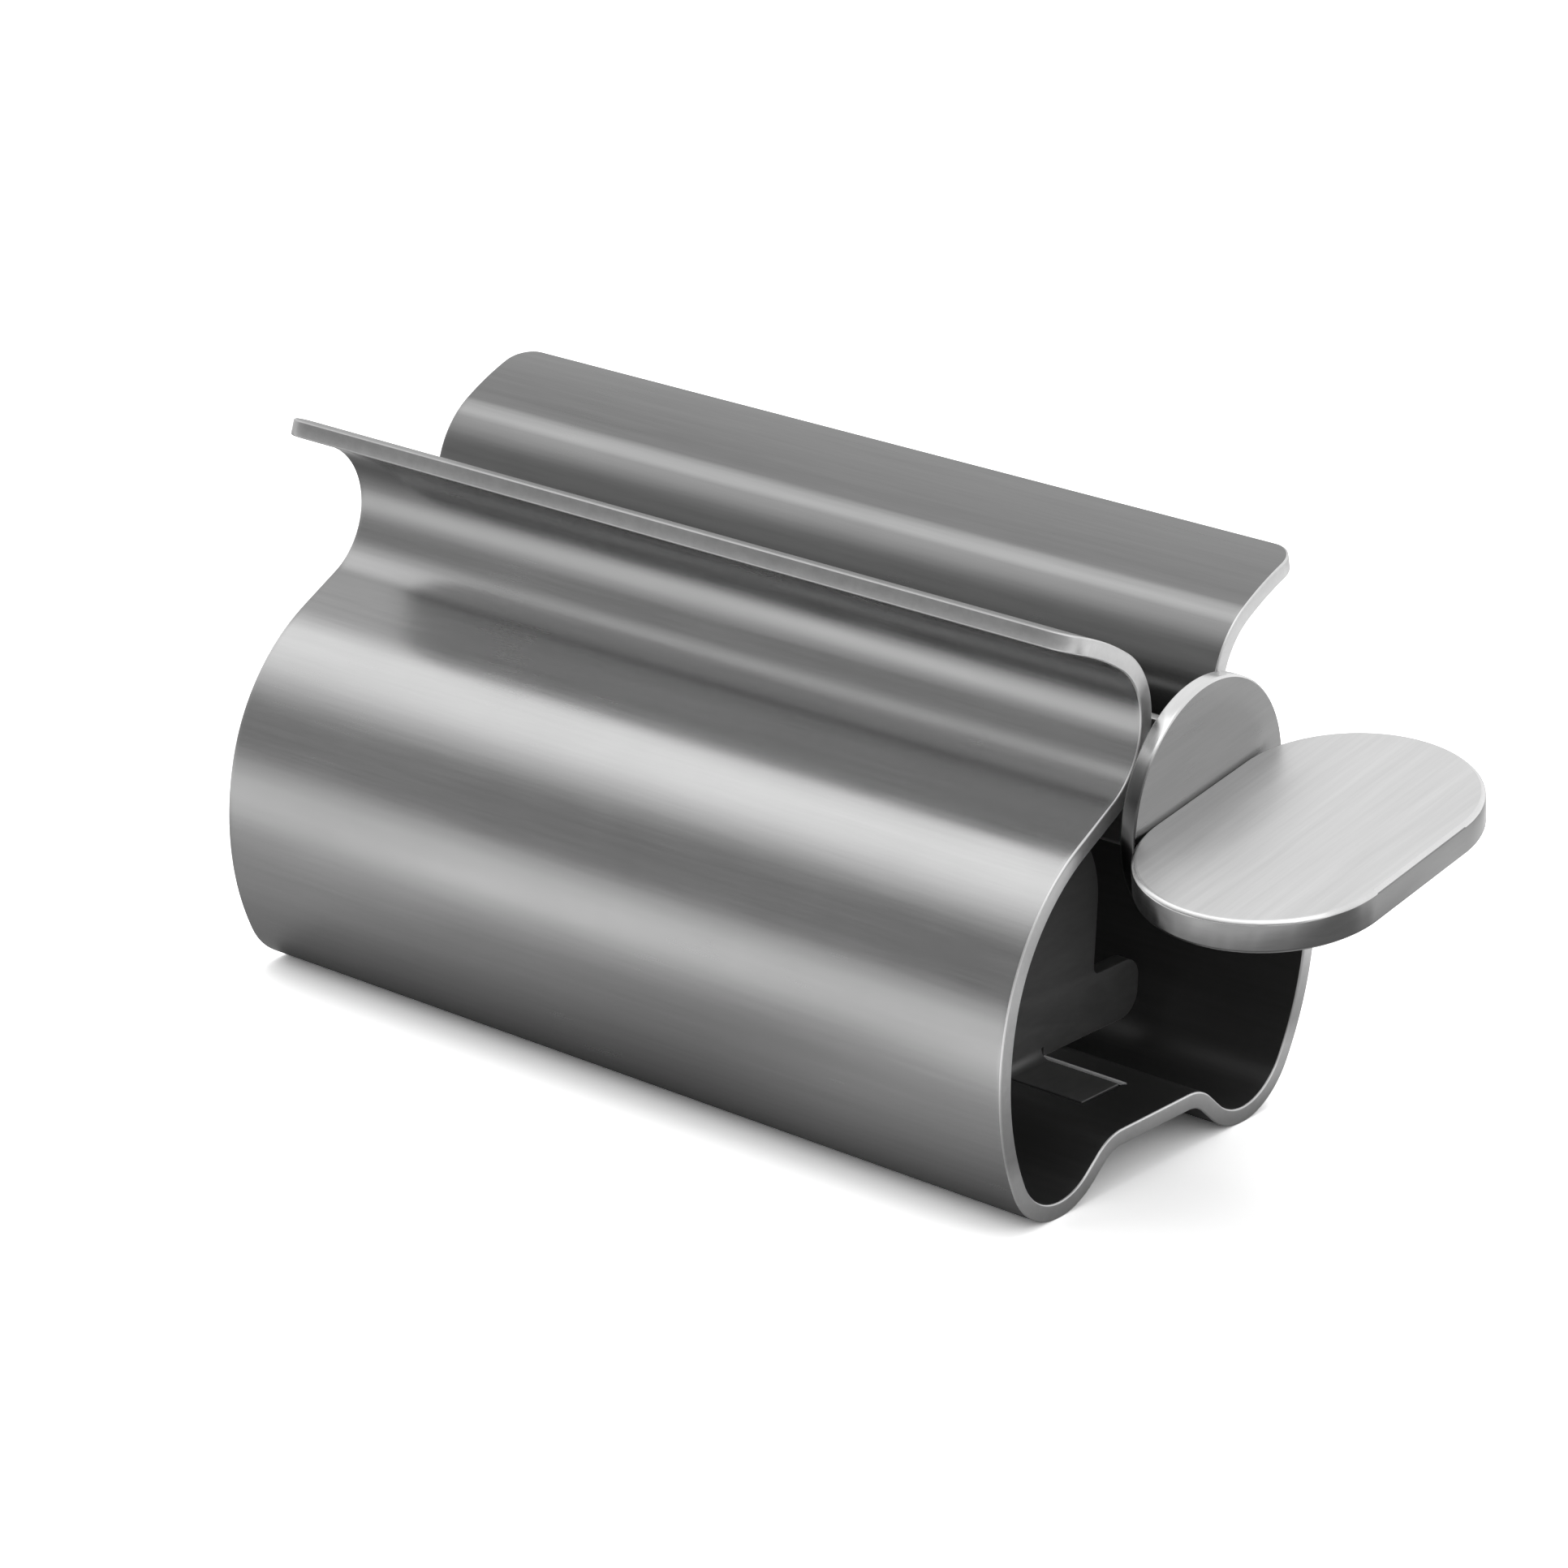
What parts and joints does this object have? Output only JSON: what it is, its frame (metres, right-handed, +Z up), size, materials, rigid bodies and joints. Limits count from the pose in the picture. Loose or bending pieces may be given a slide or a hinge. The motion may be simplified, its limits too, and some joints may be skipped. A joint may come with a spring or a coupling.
{
  "type": "toothpaste tube squeezer",
  "caption": "Bent steel body with flared lips over a throat, and a loose winding key whose forked prongs roll up the flat tail of a tube inside the belly.",
  "frame": {"origin": "on the ground, under the middle of the box round the whole squeezer", "axes": "+X along the body towards the key's handle, +Y across the body to the side away from the picture's viewer, +Z up"},
  "size_m": [0.1028, 0.0424, 0.0477],
  "materials": {
    "body_steel": "brushed along the body",
    "plate_steel": "brushed",
    "disc_steel": "fine brushed",
    "handle_steel": "fine brushed along its length",
    "prong_steel": "brushed"
  },
  "bodies": {
    "body": {"body_shell": "body_steel", "stop_plate": "plate_steel"},
    "key": {"key_disc": "disc_steel", "key_handle": "handle_steel", "prong_front": "prong_steel", "prong_rear": "prong_steel"}
  },
  "joints": [
    {"name": "key_spin", "type": "hinge", "parent": "body", "child": "key", "pos_m": [0.03015, 0, 0.03161], "axis": [1, 0, 0], "continuous": true}
  ]
}
